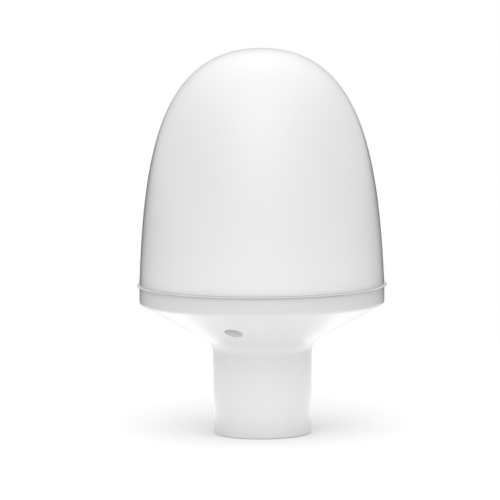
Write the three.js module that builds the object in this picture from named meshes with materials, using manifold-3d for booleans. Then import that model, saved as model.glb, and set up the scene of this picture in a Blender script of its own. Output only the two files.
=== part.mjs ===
// Marine dome antenna on a one-inch mast collar: a quadrifilar helix and its amplifier board under a bullet
// radome, on a flared base with a coaxial jack inside the collar.
// Millimetres, +Z up. The origin is the centre of the collar's foot, and -Y is the front.
import * as THREE from "three";
import { mergeVertices } from "three/addons/utils/BufferGeometryUtils.js";
import Module from "manifold-3d";

const wasm = await Module();
wasm.setup();

// Outside of the casing
const COLLAR_FOOT_R = 19.4;
const COLLAR_TOP_R = 19.9;
const FOOT_ROUNDING = 0.6;
const FLARE_FOOT_Z = 36.7;
const FLARE_TOP_Z = 52.4;
const FLARE_FILLET = 6.5;
const RIM_R = 49.0;
const RIM_ROUNDING = 1.6;
const APEX_Z = 154.3;
const WALL = 2.6;

// The seam: a flat gasket between base and radome, whose edge stands out as a drip lip
const SEAM_Z = 59.8;
const GASKET_T = 0.6;
const LIP_R = 50.0;
const BASE_TOP_Z = SEAM_Z - GASKET_T / 2;
const RADOME_FOOT_Z = SEAM_Z + GASKET_T / 2;
const SPIGOT_R = 45.8;
const SPIGOT_TOP_Z = 65;
const SPIGOT_BORE_R = 43.4;
const GROOVE_R = 44.2;
const GROOVE_Z = [61, 63.2];

// Inside of the base
const SKIN = 4.2;
const FLOOR_Z = [38, 42];
const SOCKET_R = 13.4;
const INSERT_R = 15.6;
const INSERT_TOP_Z = 22.6;
const THREAD_MINOR_R = 11.7;
const JACK_HOLE_R = 6;

// The three M4 screws that come up through the base into the radome's bosses
const RADOME_SCREW_R = 33;
const RADOME_SCREW_ANGLES = [250, 10, 130];
const RADOME_SCREW_HEAD = { r: 3.5, z: [47.15, 51.15], socketR: 1.7, socketDepth: 2.2 };
const RADOME_SCREW_SHANK = { r: 2, tipZ: 67.15, chamfer: 0.6 };
const RADOME_SCREW_WAY_R = 2.25;
const COUNTERBORE_R = 3.6;
const COUNTERBORE_TOP_Z = 52;
const BASE_BOSS_R = 6;
const BASE_BOSS_TOP_Z = 57;
const RADOME_BOSS_R = 4.6;
const RADOME_BOSS_Z = [BASE_BOSS_TOP_Z + 0.3, 80];
const RADOME_WEB_T = 2.4;
const RADOME_WEB_Z = [67.2, 92];
const INSERT_WAY_R = 3;
const RADOME_INSERT_Z = [57.6, 65.6];

// The three M3 screws that hold the board and the plate under it
const BOARD_SCREW_R = 35;
const BOARD_SCREW_ANGLES = [190, 310, 70];
const PILLAR_R = 3.6;
const SPACER_R = 3.1;
const BOARD_SCREW_HEAD = { r: 2.8, crownR: 1.9, rimHeight: 1.2, height: 1.9, socketR: 1.2 };
const BOARD_SCREW_SHANK = { r: 1.5, tipZ: 51, chamfer: 0.4 };

// The decks inside
const PLATE_Z = [58, 59.5];
const PLATE_R = 41.5;
const BOARD_Z = [64.5, 66.1];
const BOARD_R = 40.5;
const PLATE_BORE_R = 9;
const BOSS_OPENING_R = 5.4;
const M3_CLEARANCE_R = 1.6;

// The jack: its nose faces down inside the collar, its flange seats under the floor, and its tail goes up
// through the floor to a washer and nut
const JACK_MOUTH = { r: 4.05, z: 24, depth: 6 };
const JACK_NOSE_R = 5.55;
const JACK_FLANGE = { r: 8.6, z: [34, 37.2] };
const JACK_TAIL = { r: 5.9, topZ: 46.3, boreR: 2.5 };
const JACK_CHAMFER = 0.5;
const CONTACT = { r: 1.05, z: [25.4, 46.2], boreR: 0.5, boreDepth: 3.6 };
const DIELECTRIC = { boreR: 1.15, z: [25, 46] };
const WASHER = { r: 8.6, boreR: 6.1, thickness: 0.8, split: 1.2 };
const NUT = { r: 9.1, height: 2.5 };
const FERRULE = { r: 2.35, boreR: 1.4, z: [46.4, 50.3] };

// The helix
const FORMER_R = 15;
const FORMER_Z = [66.3, 138];
const FORMER_WALL = 1.4;
const HELIX_BASE = { r: 20, rimZ: 67.6, shoulderR: 17, topZ: 70.6 };
const ARM_Z = [71.5, 134.5];
const ARM_SECTION = [4.2, 0.3];
const ARM_COUNT = 4;
const ARM_TURN = Math.PI;
const CAP = { plugZ: 135, r: FORMER_R + 0.4, thickness: 1.55 };

// The jumper from the jack to the board: up out of the ferrule, out under the plate, up through plate and board,
// and back in to the board's plug
const COAX_R = 1.25;
const COAX_BEND_R = 4.5;
const COAX_ANGLE = 220;
const COAX_FOOT_Z = 46.5;
const COAX_RUN_Z = 55.8;
const COAX_RISE_R = 34;
const COAX_TOP_Z = 68.4;
const COAX_END_R = 27.9;
const PLUG_AT_R = 25;

const GAP = 0.05; // between faces that touch on the real object
const ROUND = 40; // sides of a large round piece
const SMALL = 16; // and of a small one

const MATERIALS = {
  shell: { color: 0xf2f3f3, roughness: 0.32, metalness: 0 },
  gasket: { color: 0xc9cacb, roughness: 0.6, metalness: 0 },
  rubber: { color: 0x1c1c1d, roughness: 0.75, metalness: 0 },
  stainless: { color: 0xb9bbbd, roughness: 0.3, metalness: 1 },
  brass: { color: 0xc9a55a, roughness: 0.35, metalness: 1 },
  nickel: { color: 0xc4c1b6, roughness: 0.25, metalness: 1 },
  gold: { color: 0xe0b34a, roughness: 0.2, metalness: 1 },
  ptfe: { color: 0xf4f3ee, roughness: 0.5, metalness: 0 },
  aluminium: { color: 0xc6c8ca, roughness: 0.4, metalness: 1 },
  board: { color: 0x14512f, roughness: 0.45, metalness: 0 },
  tinplate: { color: 0xb5b6b4, roughness: 0.35, metalness: 1 },
  former: { color: 0xd8cfa8, roughness: 0.5, metalness: 0 },
  copper: { color: 0xc8764a, roughness: 0.3, metalness: 1 },
  jacket: { color: 0x8a5a34, roughness: 0.4, metalness: 0 },
};

const antenna = new THREE.Group();

function add(name, material, shape) {
  const geometry = shape.isBufferGeometry ? shape : geometryOf(shape);
  const mesh = new THREE.Mesh(geometry, new THREE.MeshStandardMaterial(MATERIALS[material]));
  mesh.name = name;
  antenna.add(mesh);
  return mesh;
}

// ---- solids for the boolean cuts and joins ----

function solid(geometry) {
  const loose = geometry.index ? geometry.toNonIndexed() : geometry;
  const bare = new THREE.BufferGeometry().setAttribute("position", loose.getAttribute("position"));
  const merged = mergeVertices(bare, 1e-4);
  const corners = merged.index.array;
  const kept = [];
  for (let i = 0; i < corners.length; i += 3) {
    const [a, b, c] = corners.subarray(i, i + 3);
    if (a !== b && b !== c && c !== a) kept.push(a, b, c);
  }
  return new wasm.Manifold(
    new wasm.Mesh({
      numProp: 3,
      vertProperties: Float32Array.from(merged.attributes.position.array),
      triVerts: Uint32Array.from(kept),
    }),
  );
}

function geometryOf(manifold) {
  const mesh = manifold.getMesh();
  return new THREE.BufferGeometry()
    .setAttribute("position", new THREE.BufferAttribute(Float32Array.from(mesh.vertProperties), 3))
    .setIndex(new THREE.BufferAttribute(Uint32Array.from(mesh.triVerts), 1));
}

const join = (first, ...others) => others.reduce((made, s) => made.add(s), first);
const cut = (first, ...others) => others.reduce((made, s) => made.subtract(s), first);

// ---- shapes ----

const radians = (degrees) => (degrees * Math.PI) / 180;

function polar(r, degrees, z = 0) {
  return new THREE.Vector3(r * Math.cos(radians(degrees)), r * Math.sin(radians(degrees)), z);
}

// A solid of revolution about Z from a profile of (radius, height) points, which runs anticlockwise.
function revolve(profile, sides = ROUND) {
  const points = profile.map((p) => (p.isVector2 ? p : new THREE.Vector2(...p)));
  return solid(new THREE.LatheGeometry(points, sides).rotateX(Math.PI / 2));
}

function ring(inner, outer, z0, z1, sides = ROUND) {
  return revolve([[inner, z0], [outer, z0], [outer, z1], [inner, z1], [inner, z0]], sides);
}

function rod(r, z0, z1, sides = SMALL) {
  return solid(
    new THREE.CylinderGeometry(r, r, z1 - z0, sides).rotateX(Math.PI / 2).translate(0, 0, (z0 + z1) / 2),
  );
}

function box(x, y, z0, z1) {
  return solid(new THREE.BoxGeometry(x, y, z1 - z0).translate(0, 0, (z0 + z1) / 2));
}

// A profile's corners, each (radius, height, rounding), as points with each rounded corner an arc.
function rounded(corners, steps = 3) {
  return corners.flatMap(([r, z, rounding], i) => {
    const corner = new THREE.Vector2(r, z);
    if (!rounding) return [corner];
    const back = new THREE.Vector2(...corners[i - 1].slice(0, 2)).sub(corner).normalize();
    const on = new THREE.Vector2(...corners[i + 1].slice(0, 2)).sub(corner).normalize();
    const half = Math.acos(back.dot(on)) / 2;
    const centre = corner.clone().addScaledVector(back.clone().add(on).normalize(), rounding / Math.sin(half));
    const from = corner.clone().addScaledVector(back, rounding / Math.tan(half)).sub(centre);
    const to = corner.clone().addScaledVector(on, rounding / Math.tan(half)).sub(centre);
    const start = from.angle();
    let turn = to.angle() - start;
    if (turn > Math.PI) turn -= 2 * Math.PI;
    if (turn < -Math.PI) turn += 2 * Math.PI;
    return Array.from({ length: steps + 1 }, (_, k) =>
      new THREE.Vector2(rounding, 0).rotateAround(new THREE.Vector2(), start + (turn * k) / steps).add(centre),
    );
  });
}

// One copy of a solid at each angle, at a radius, turned so that its +X points outwards.
function around(shape, r, angles) {
  return angles.map((a) => shape.rotate([0, 0, a]).translate(polar(r, a).toArray()));
}

// ---- casing ----

const FLARE_SLOPE = (FLARE_TOP_Z - FLARE_FOOT_Z) / (RIM_R - COLLAR_TOP_R);
const flareZ = (r) => FLARE_FOOT_Z + (r - COLLAR_TOP_R) * FLARE_SLOPE;

// The collar, flare and rim outside, and the spigot that stands inside the radome, before it is hollowed.
function baseOutside() {
  return revolve(
    rounded([
      [0, 0],
      [COLLAR_FOOT_R, 0, FOOT_ROUNDING],
      [COLLAR_TOP_R, FLARE_FOOT_Z, FLARE_FILLET],
      [RIM_R, FLARE_TOP_Z, RIM_ROUNDING],
      [RIM_R, BASE_TOP_Z],
      [SPIGOT_R, BASE_TOP_Z],
      [SPIGOT_R, GROOVE_Z[0]],
      [GROOVE_R, GROOVE_Z[0]],
      [GROOVE_R, GROOVE_Z[1]],
      [SPIGOT_R, GROOVE_Z[1]],
      [SPIGOT_R, SPIGOT_TOP_Z],
      [0, SPIGOT_TOP_Z],
    ]),
  );
}

// The hollow over the floor: its wall follows the flare, then runs straight up the spigot.
function basePan() {
  const floorR = COLLAR_TOP_R + (FLOOR_Z[1] - SKIN - FLARE_FOOT_Z) / FLARE_SLOPE;
  return revolve([
    [0, FLOOR_Z[1]],
    [floorR, FLOOR_Z[1]],
    [SPIGOT_BORE_R, flareZ(SPIGOT_BORE_R) + SKIN],
    [SPIGOT_BORE_R, SPIGOT_TOP_Z + 1],
    [0, SPIGOT_TOP_Z + 1],
  ]);
}

function baseHousing() {
  const bosses = around(rod(BASE_BOSS_R, 30, BASE_BOSS_TOP_Z), RADOME_SCREW_R, RADOME_SCREW_ANGLES);
  const pillars = around(rod(PILLAR_R, 30, PLATE_Z[0] - GAP), BOARD_SCREW_R, BOARD_SCREW_ANGLES);
  const socket = revolve([
    [0, -1],
    [INSERT_R, -1],
    [INSERT_R, INSERT_TOP_Z + GAP],
    [SOCKET_R, INSERT_TOP_Z + GAP],
    [SOCKET_R, FLOOR_Z[0]],
    [0, FLOOR_Z[0]],
  ]);
  const screwWays = join(rod(COUNTERBORE_R, 30, COUNTERBORE_TOP_Z), rod(RADOME_SCREW_WAY_R, 50, 60));
  return cut(
    baseOutside(),
    cut(basePan(), ...bosses, ...pillars),
    socket,
    rod(JACK_HOLE_R, 30, 45),
    ...around(screwWays, RADOME_SCREW_R, RADOME_SCREW_ANGLES),
    ...around(rod(M3_CLEARANCE_R, 50, 60, 12), BOARD_SCREW_R, BOARD_SCREW_ANGLES),
  );
}

// The radome's outside runs up with a little draft and closes over a round crown, in one cubic curve.
function radomeCurve() {
  const draft = radians(2.4);
  const rise = 48;
  const crown = 41.3;
  return new THREE.CubicBezierCurve(
    new THREE.Vector2(RIM_R, RADOME_FOOT_Z),
    new THREE.Vector2(RIM_R - rise * Math.tan(draft), RADOME_FOOT_Z + rise),
    new THREE.Vector2(crown, APEX_Z),
    new THREE.Vector2(0, APEX_Z),
  );
}

function radome() {
  const curve = radomeCurve();
  const rows = 12;
  const outside = Array.from({ length: rows + 1 }, (_, i) => curve.getPointAt(i / rows));
  const inside = outside.map((p, i) => {
    const along = curve.getTangentAt(i / rows);
    return new THREE.Vector2(Math.max(0, p.x - along.y * WALL), p.y + along.x * WALL);
  });
  inside[0].y = RADOME_FOOT_Z;
  outside[rows].x = 0;
  inside[rows].x = 0;
  const shell = revolve([...inside.reverse(), ...outside]);
  const hole = join(rod(INSERT_WAY_R, 57, 66), rod(2.3, 65, 69.5));
  const boss = join(rod(RADOME_BOSS_R, ...RADOME_BOSS_Z), radomeWeb());
  const bosses = around(boss, RADOME_SCREW_R, RADOME_SCREW_ANGLES);
  return cut(join(shell, ...bosses), ...around(hole, RADOME_SCREW_R, RADOME_SCREW_ANGLES));
}

// A web stands on edge from a boss out to the radome's wall, wider at its foot than at its top.
function radomeWeb() {
  const outline = new THREE.Shape()
    .moveTo(0, RADOME_WEB_Z[0])
    .lineTo(47 - RADOME_SCREW_R, RADOME_WEB_Z[0])
    .lineTo(45.4 - RADOME_SCREW_R, RADOME_WEB_Z[1])
    .lineTo(0, RADOME_BOSS_Z[1]);
  const sheet = new THREE.ExtrudeGeometry(outline, { depth: RADOME_WEB_T, bevelEnabled: false, steps: 1 });
  return solid(sheet.translate(0, 0, -RADOME_WEB_T / 2).rotateX(Math.PI / 2));
}

function seals() {
  add("seam_gasket", "gasket", ring(SPIGOT_R + 0.3, LIP_R, BASE_TOP_Z + GAP, RADOME_FOOT_Z - GAP));
  const section = 0.9;
  const torus = new THREE.TorusGeometry(GROOVE_R + 0.1 + section, section, 6, ROUND);
  const middleZ = (GROOVE_Z[0] + GROOVE_Z[1]) / 2;
  add("radome_o_ring", "rubber", solid(torus.rotateZ(Math.PI / 2).translate(0, 0, middleZ)));
}

// ---- fasteners ----

// A cap screw whose head hangs below its shank.
function radomeScrew() {
  const { r: headR, z: headZ, socketR, socketDepth } = RADOME_SCREW_HEAD;
  const { r, tipZ, chamfer } = RADOME_SCREW_SHANK;
  const headEdge = 0.3;
  const body = revolve(
    [
      [0, headZ[0]],
      [headR - headEdge, headZ[0]],
      [headR, headZ[0] + headEdge],
      [headR, headZ[1]],
      [r, headZ[1]],
      [r, tipZ - chamfer],
      [r - chamfer, tipZ],
      [0, tipZ],
    ],
    SMALL,
  );
  return cut(body, rod(socketR, headZ[0] - 1, headZ[0] + socketDepth, 6));
}

function radomeFasteners() {
  const seal = ring(2.2, 3.45, RADOME_SCREW_HEAD.z[1] + GAP, COUNTERBORE_TOP_Z - GAP, SMALL);
  const insert = ring(2.15, 2.9, ...RADOME_INSERT_Z, SMALL);
  RADOME_SCREW_ANGLES.forEach((angle, i) => {
    const place = (shape) => around(shape, RADOME_SCREW_R, [angle])[0];
    add(`radome_screw_${i + 1}`, "stainless", place(radomeScrew()));
    add(`radome_screw_seal_${i + 1}`, "rubber", place(seal));
    add(`radome_insert_${i + 1}`, "brass", place(insert));
  });
}

// A domed screw whose head stands on the board.
function boardScrew() {
  const { r: headR, crownR, rimHeight, height, socketR } = BOARD_SCREW_HEAD;
  const { r, tipZ, chamfer } = BOARD_SCREW_SHANK;
  const seat = BOARD_Z[1] + GAP;
  const body = revolve(
    [
      [0, tipZ],
      [r - chamfer, tipZ],
      [r, tipZ + chamfer],
      [r, seat],
      [headR, seat],
      [headR, seat + rimHeight],
      [crownR, seat + height],
      [0, seat + height],
    ],
    SMALL,
  );
  return cut(body, rod(socketR, seat + 0.8, seat + 3, 6));
}

function boardFasteners() {
  const spacer = cut(rod(SPACER_R, PLATE_Z[1] + GAP, BOARD_Z[0] - GAP, 6), rod(1.65, 50, 70, 12));
  BOARD_SCREW_ANGLES.forEach((angle, i) => {
    const place = (shape) => around(shape, BOARD_SCREW_R, [angle])[0];
    add(`board_spacer_${i + 1}`, "brass", place(spacer));
    add(`board_screw_${i + 1}`, "stainless", place(boardScrew()));
  });
}

// ---- mast socket and jack ----

function connectorJack() {
  const { r: mouthR, z: mouthZ, depth } = JACK_MOUTH;
  const { r: tailR, topZ, boreR } = JACK_TAIL;
  return revolve(
    [
      [boreR, mouthZ + depth],
      [mouthR, mouthZ + depth],
      [mouthR, mouthZ],
      [JACK_NOSE_R - JACK_CHAMFER, mouthZ],
      [JACK_NOSE_R, mouthZ + JACK_CHAMFER],
      [JACK_NOSE_R, JACK_FLANGE.z[0]],
      [JACK_FLANGE.r, JACK_FLANGE.z[0]],
      [JACK_FLANGE.r, JACK_FLANGE.z[1]],
      [tailR, JACK_FLANGE.z[1]],
      [tailR, topZ - JACK_CHAMFER],
      [tailR - JACK_CHAMFER, topZ],
      [boreR, topZ],
      [boreR, mouthZ + depth],
    ],
    SMALL,
  );
}

function connectorParts() {
  add("connector_jack", "nickel", connectorJack());
  add("connector_dielectric", "ptfe", ring(DIELECTRIC.boreR, JACK_TAIL.boreR - 0.1, ...DIELECTRIC.z, SMALL));
  const [pinFoot, pinTop] = CONTACT.z;
  const pin = cut(rod(CONTACT.r, pinFoot, pinTop, 12), rod(CONTACT.boreR, 25, pinFoot + CONTACT.boreDepth, 12));
  add("connector_contact", "gold", pin);
  add("connector_seal", "rubber", ring(6.1, 8.3, JACK_FLANGE.z[1] + GAP, FLOOR_Z[0] - GAP, SMALL));
  const washerFoot = FLOOR_Z[1] + GAP;
  const washer = ring(WASHER.boreR, WASHER.r, washerFoot, washerFoot + WASHER.thickness, SMALL);
  add("connector_lock_washer", "stainless", cut(washer, box(6, WASHER.split, 40, 45).translate([8, 0, 0])));
  const nutFoot = washerFoot + WASHER.thickness + GAP;
  const nut = cut(rod(NUT.r, nutFoot, nutFoot + NUT.height, 6), rod(JACK_HOLE_R, 40, 50));
  add("connector_nut", "nickel", nut);
  add("coax_ferrule", "nickel", ring(FERRULE.boreR, FERRULE.r, ...FERRULE.z, SMALL));
}

function coaxJumper() {
  const corners = [
    [0, COAX_FOOT_Z],
    [0, COAX_RUN_Z, COAX_BEND_R],
    [COAX_RISE_R, COAX_RUN_Z, COAX_BEND_R],
    [COAX_RISE_R, COAX_TOP_Z, COAX_BEND_R],
    [COAX_END_R, COAX_TOP_Z],
  ];
  const route = new THREE.CatmullRomCurve3(rounded(corners, 4).map((p) => polar(p.x, COAX_ANGLE, p.y)));
  const section = new THREE.Shape().absarc(0, 0, COAX_R, 0, Math.PI * 2);
  const tube = new THREE.ExtrudeGeometry(section, { steps: 40, curveSegments: 4, extrudePath: route });
  add("coax_jumper", "jacket", solid(tube));
}

// ---- decks ----

function decks() {
  const openings = around(rod(BOSS_OPENING_R, 50, 70), RADOME_SCREW_R, RADOME_SCREW_ANGLES);
  const screwHoles = around(rod(M3_CLEARANCE_R, 50, 70, 12), BOARD_SCREW_R, BOARD_SCREW_ANGLES);
  const plateSlot = around(box(5.4, 5, 50, 62), COAX_RISE_R - 0.6, [COAX_ANGLE]);
  const boardSlot = around(box(7, 4.4, 60, 70), COAX_RISE_R - 1.4, [COAX_ANGLE]);
  const plate = ring(PLATE_BORE_R, PLATE_R, ...PLATE_Z);
  add("ground_plane", "aluminium", cut(plate, ...openings, ...screwHoles, ...plateSlot));
  add("circuit_board", "board", cut(rod(BOARD_R, ...BOARD_Z, ROUND), ...openings, ...screwHoles, ...boardSlot));
}

function boardParts() {
  const top = BOARD_Z[1] + GAP;
  const sheet = 0.4;
  const can = (x, y, height) =>
    cut(box(x, y, top, top + height), box(x - 1, y - 1, top - 1, top + height - sheet));
  add("amplifier_shield_can", "tinplate", around(can(13, 20, 3.4), 30, [283])[0]);
  add("filter_shield_can", "tinplate", around(can(11, 19, 3), 30, [101])[0]);
  const place = (shape) => around(shape, PLUG_AT_R, [COAX_ANGLE])[0];
  add("board_jack", "gold", place(join(box(4, 4, top, top + 0.5), rod(1.4, top, top + 0.8))));
  const sleeve = rod(1.35, 0, 2.6).rotate([0, 90, 0]).translate([0, 0, COAX_TOP_Z]);
  add("board_plug", "brass", place(join(rod(1.9, top + 0.85, top + 3.5), sleeve)));
}

// ---- helix ----

// A flat copper strip, sheared and then wrapped round the former.
function helixArm(phase) {
  const radius = FORMER_R + 0.4;
  const length = ARM_Z[1] - ARM_Z[0];
  const strip = new THREE.BoxGeometry(...ARM_SECTION, length, 2, 1, 20);
  const at = strip.getAttribute("position");
  for (let i = 0; i < at.count; i++) {
    const share = at.getZ(i) / length + 0.5;
    const angle = -at.getX(i) / radius + ARM_TURN * share + phase;
    const r = radius + at.getY(i);
    at.setXYZ(i, r * Math.cos(angle), r * Math.sin(angle), ARM_Z[0] + share * length);
  }
  return solid(strip);
}

function helixBase() {
  const { r, rimZ, shoulderR, topZ } = HELIX_BASE;
  const bore = FORMER_R + 0.15;
  const foot = BOARD_Z[1] + GAP;
  return revolve([[bore, foot], [r, foot], [r, rimZ], [shoulderR, topZ], [bore, topZ], [bore, foot]]);
}

// The cap's plug stands inside the former, and its rim covers the former's end.
function helixCap() {
  const plugR = FORMER_R - FORMER_WALL - 0.2;
  const seat = FORMER_Z[1] + GAP;
  const top = seat + CAP.thickness;
  return revolve([[0, CAP.plugZ], [plugR, CAP.plugZ], [plugR, seat], [CAP.r, seat], [CAP.r, top], [0, top]]);
}

function helix() {
  add("helix_base", "ptfe", helixBase());
  add("helix_former", "former", ring(FORMER_R - FORMER_WALL, FORMER_R, ...FORMER_Z));
  for (let i = 0; i < ARM_COUNT; i++) {
    add(`helix_arm_${i + 1}`, "copper", helixArm((i * 2 * Math.PI) / ARM_COUNT));
  }
  add("helix_cap", "board", helixCap());
}

add("base_housing", "shell", baseHousing());
add("radome", "shell", radome());
seals();
radomeFasteners();
add("mast_thread_insert", "nickel", ring(THREAD_MINOR_R, INSERT_R - GAP, 0.4, INSERT_TOP_Z));
connectorParts();
coaxJumper();
decks();
boardFasteners();
boardParts();
helix();

export default antenna;
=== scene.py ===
"""Marine dome antenna on a mast collar: the visual model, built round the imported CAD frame.

Shapes are modelled in millimetres in the frame's own axes and turned into metres by make_object().
"""

import math
from itertools import product

import bmesh
import bpy
from mathutils import Matrix, Vector


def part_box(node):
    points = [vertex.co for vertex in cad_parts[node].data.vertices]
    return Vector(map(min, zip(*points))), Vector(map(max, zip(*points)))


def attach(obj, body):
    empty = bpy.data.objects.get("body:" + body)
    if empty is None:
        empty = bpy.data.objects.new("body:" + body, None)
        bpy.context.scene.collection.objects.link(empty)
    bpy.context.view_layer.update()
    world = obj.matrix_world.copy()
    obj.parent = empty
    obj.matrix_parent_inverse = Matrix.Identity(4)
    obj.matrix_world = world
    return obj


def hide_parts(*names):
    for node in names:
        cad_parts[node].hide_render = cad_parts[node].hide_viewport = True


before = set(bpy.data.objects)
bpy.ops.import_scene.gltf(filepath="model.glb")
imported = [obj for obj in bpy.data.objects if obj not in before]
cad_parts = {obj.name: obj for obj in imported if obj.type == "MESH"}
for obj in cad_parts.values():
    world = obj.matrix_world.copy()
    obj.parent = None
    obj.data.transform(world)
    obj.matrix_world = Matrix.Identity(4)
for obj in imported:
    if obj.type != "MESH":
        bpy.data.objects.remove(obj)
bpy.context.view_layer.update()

MM = 0.001


def reach(node):
    """Lowest and highest corner of a CAD node, in millimetres."""
    low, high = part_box(node)
    return low / MM, high / MM


# ---- driving sizes, in millimetres

CLEARANCE = 0.05  # between faces of two pieces that would otherwise lie in one plane

RIM_R = reach("radome")[1].x
APEX_Z = reach("radome")[1].z
RADOME_FOOT_Z = reach("seam_gasket")[1].z + CLEARANCE
BASE_TOP_Z = reach("seam_gasket")[0].z - CLEARANCE
LIP_R = reach("seam_gasket")[1].x
SPIGOT_TOP_Z = reach("base_housing")[1].z
SPIGOT_R = 45.8
SPIGOT_BORE_R = 43.4
GROOVE_R = 44.2
GROOVE_Z = (61.0, 63.2)
RADOME_DRAFT = math.radians(2.4)
RADOME_RISE = 48.0  # length of the curve's handle up from the rim
RADOME_CROWN = 41.3  # and of its handle out from the apex
RADOME_WALL = 2.6

COLLAR_FOOT_R = 19.4
COLLAR_TOP_R = 19.9
FLARE_FOOT_Z = 36.7
FLARE_TOP_Z = 52.4
FLARE_FILLET = 6.5
RIM_ROUNDING = 1.6
FOOT_ROUNDING = 0.6
SKIN = 4.2
FLOOR_Z = (38.0, 42.0)
SOCKET_R = 13.4
INSERT_R = 15.6
INSERT_Z = (reach("mast_thread_insert")[0].z, reach("mast_thread_insert")[1].z)
JACK_HOLE_R = 6.0

RADOME_SCREW_R = 33.0
RADOME_SCREW_ANGLES = (250, 10, 130)
COUNTERBORE_R = 3.6
COUNTERBORE_TOP_Z = 52.0
SCREW_HOLE_Z = (50, 60)
BASE_BOSS_R = 6.0
BASE_BOSS_TOP_Z = 57.0
RADOME_BOSS_R = 4.6
RADOME_BOSS_Z = (BASE_BOSS_TOP_Z + 0.3, 80)
BOSS_OPENING_R = 5.4
BOARD_SCREW_R = 35.0
BOARD_SCREW_ANGLES = (190, 310, 70)
PILLAR_R = 3.6
PLATE_Z = (reach("ground_plane")[0].z, reach("ground_plane")[1].z)
BOARD_Z = (reach("circuit_board")[0].z, reach("circuit_board")[1].z)
BOARD_R = reach("circuit_board")[1].x
COAX_ANGLE = 220  # where the jumper comes up through the plate and the board
BOARD_PLUG_R = 25

FORMER_R = reach("helix_former")[1].x
ARM_COUNT = 4

INCH = 25.4
M3_PITCH, M3_CLEARANCE_R = 0.5, 1.6
M4_PITCH, M4_CLEARANCE_R = 0.7, 2.25
TAIL_PITCH = 0.9  # of the thread on the jack's tail and in its nut

ROUND = 192  # sides of a large round piece
SMALL = 64  # and of a small one
BELOW_FLOOR_Z = 30  # cuts through the base's floor start here, in the open

TURNED = (0.08, 0.08, 1)  # a grain's stretch along each axis, for rings round Z
BRUSHED = (0.05, 1, 1)  # and for lines along X


# ---- mesh making

def make_object(name, verts, faces, sharp=35):
    """A smooth-shaded object from points in millimetres, kept sharp at edges above an angle in degrees."""
    mesh = bpy.data.meshes.new(name)
    mesh.from_pydata([Vector(v) * MM for v in verts], [], faces)
    piece = bpy.data.objects.new(name, mesh)
    bpy.context.scene.collection.objects.link(piece)
    weld(piece)
    shade(piece, sharp)
    return piece


def weld(piece, distance=0.001):
    """Joins points that lie within a distance of each other, in millimetres."""
    shape = bmesh.new()
    shape.from_mesh(piece.data)
    bmesh.ops.remove_doubles(shape, verts=shape.verts, dist=distance * MM)
    bmesh.ops.dissolve_degenerate(shape, edges=shape.edges, dist=distance * MM * 0.1)
    shape.to_mesh(piece.data)
    shape.free()


def shade(piece, sharp=35):
    mesh = piece.data
    mesh.polygons.foreach_set("use_smooth", [True] * len(mesh.polygons))
    mesh.set_sharp_from_angle(angle=math.radians(sharp))


def rounded(corners, steps=6):
    """An outline's points from its corners, each (radius, height) or (radius, height, rounding)."""
    points = []
    for i, corner in enumerate(corners):
        at = Vector(corner[:2])
        if len(corner) == 2:
            points.append(at)
            continue
        back = (Vector(corners[i - 1][:2]) - at).normalized()
        on = (Vector(corners[(i + 1) % len(corners)][:2]) - at).normalized()
        half = back.angle(on) / 2
        centre = at + (back + on).normalized() * (corner[2] / math.sin(half))
        start = at + back * (corner[2] / math.tan(half)) - centre
        end = at + on * (corner[2] / math.tan(half)) - centre
        first = math.atan2(start.y, start.x)
        turn = (math.atan2(end.y, end.x) - first + math.pi) % (2 * math.pi) - math.pi
        for k in range(steps + 1):
            angle = first + turn * k / steps
            points.append(centre + Vector((math.cos(angle), math.sin(angle))) * corner[2])
    return points


def lathe(name, outline, sides=ROUND, sharp=35, threads=None):
    """A solid of revolution about Z, from an outline of (radius, height) points that runs anticlockwise.

    threads gives the (pitch, depth) of a screw thread for each outline edge that has one, by edge number.
    """
    verts, rings = [], []
    for radius, height in outline:
        on_axis = radius < 1e-6
        ring = [(0, 0)] if on_axis else circle(radius, sides)
        rings.append(range(len(verts), len(verts) + len(ring)))
        verts += [(x, y, height) for x, y in ring]
    if len(rings[0]) > 1:
        rings.append(rings[0])
    faces = []
    for edge, (a, b) in enumerate(zip(rings, rings[1:])):
        if threads and edge in threads:
            add_thread(verts, faces, outline[edge], outline[(edge + 1) % len(outline)], *threads[edge], sides)
            continue
        for k in range(sides):
            corners = (a[k % len(a)], a[(k + 1) % len(a)], b[(k + 1) % len(b)], b[k % len(b)])
            faces.append(tuple(dict.fromkeys(corners)))
    return make_object(name, verts, [f for f in faces if len(f) > 2], sharp)


def add_thread(verts, faces, start, end, pitch, depth, sides):
    """Adds a threaded wall between two outline points of one radius: cut in on a shaft, out in a bore.

    Its points stand in columns, each a little higher than the last, so that rows of them climb as a helix.
    """
    rows = 8  # points up each turn: two on the flat of the groove, two down each flank, the rest on the crest
    runout = 0.6  # share of a pitch over which the groove fades at each end
    up = end[1] > start[1]
    low, high = sorted((start[1], end[1]))
    outwards = -1 if up else 1
    count = rows * (math.ceil((high - low) / pitch) + 1)
    first = len(verts)
    for k in range(sides):
        for j in range(count + 1):
            height = low + (j / rows + k / sides - 1) * pitch
            height = max(low, min(high, height))
            groove = max(0, min(1, (3.5 - abs(j % rows - 4.5)) / 3))
            fade = min(1, (height - low) / pitch / runout, (high - height) / pitch / runout)
            radius = start[0] + outwards * depth * groove * fade
            turn = 2 * math.pi * k / sides
            verts.append((radius * math.cos(turn), radius * math.sin(turn), height))
    for k in range(sides):
        wrap = rows if k == sides - 1 else 0
        here, there = first + k * (count + 1), first + (k + 1) % sides * (count + 1)
        for j in range(count):
            near, far = min(j + wrap, count), min(j + 1 + wrap, count)
            quad = (here + j, there + near, there + far, here + j + 1)
            faces.append(quad if up else tuple(reversed(quad)))


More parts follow.
